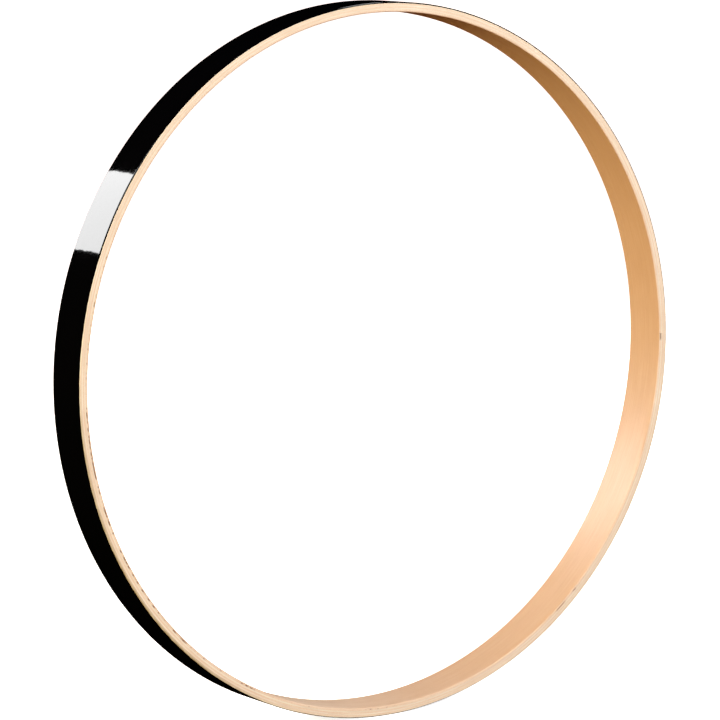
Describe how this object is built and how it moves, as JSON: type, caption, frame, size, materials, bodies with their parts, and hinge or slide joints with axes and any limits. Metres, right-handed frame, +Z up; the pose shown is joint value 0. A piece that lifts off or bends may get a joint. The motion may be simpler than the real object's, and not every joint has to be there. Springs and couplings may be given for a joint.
{
  "type": "bass drum hoop",
  "caption": "Round laminated maple hoop with eased edges, clear finished inside and coated with black gloss lacquer outside, for clamping a bass drum head.",
  "frame": {"origin": "middle of the bore, half way along the hoop's width", "axes": "+Y along the hoop's axis towards the drumhead and shell, -Y to the front, +Z up with the hoop standing on its rim"},
  "size_m": [0.5884, 0.0396, 0.5884],
  "materials": {
    "maple_long_grain": "clear satin lacquer",
    "maple_cross_grain": "clear satin lacquer",
    "black_lacquer": "black gloss lacquer"
  },
  "bodies": {
    "root": {"outer_face_ply": "maple_long_grain", "outer_crossband": "maple_cross_grain", "outer_core_ply": "maple_long_grain", "middle_crossband": "maple_cross_grain", "inner_core_ply": "maple_long_grain", "inner_crossband": "maple_cross_grain", "inner_face_ply": "maple_long_grain", "black_lacquer": "black_lacquer"}
  },
  "joints": []
}
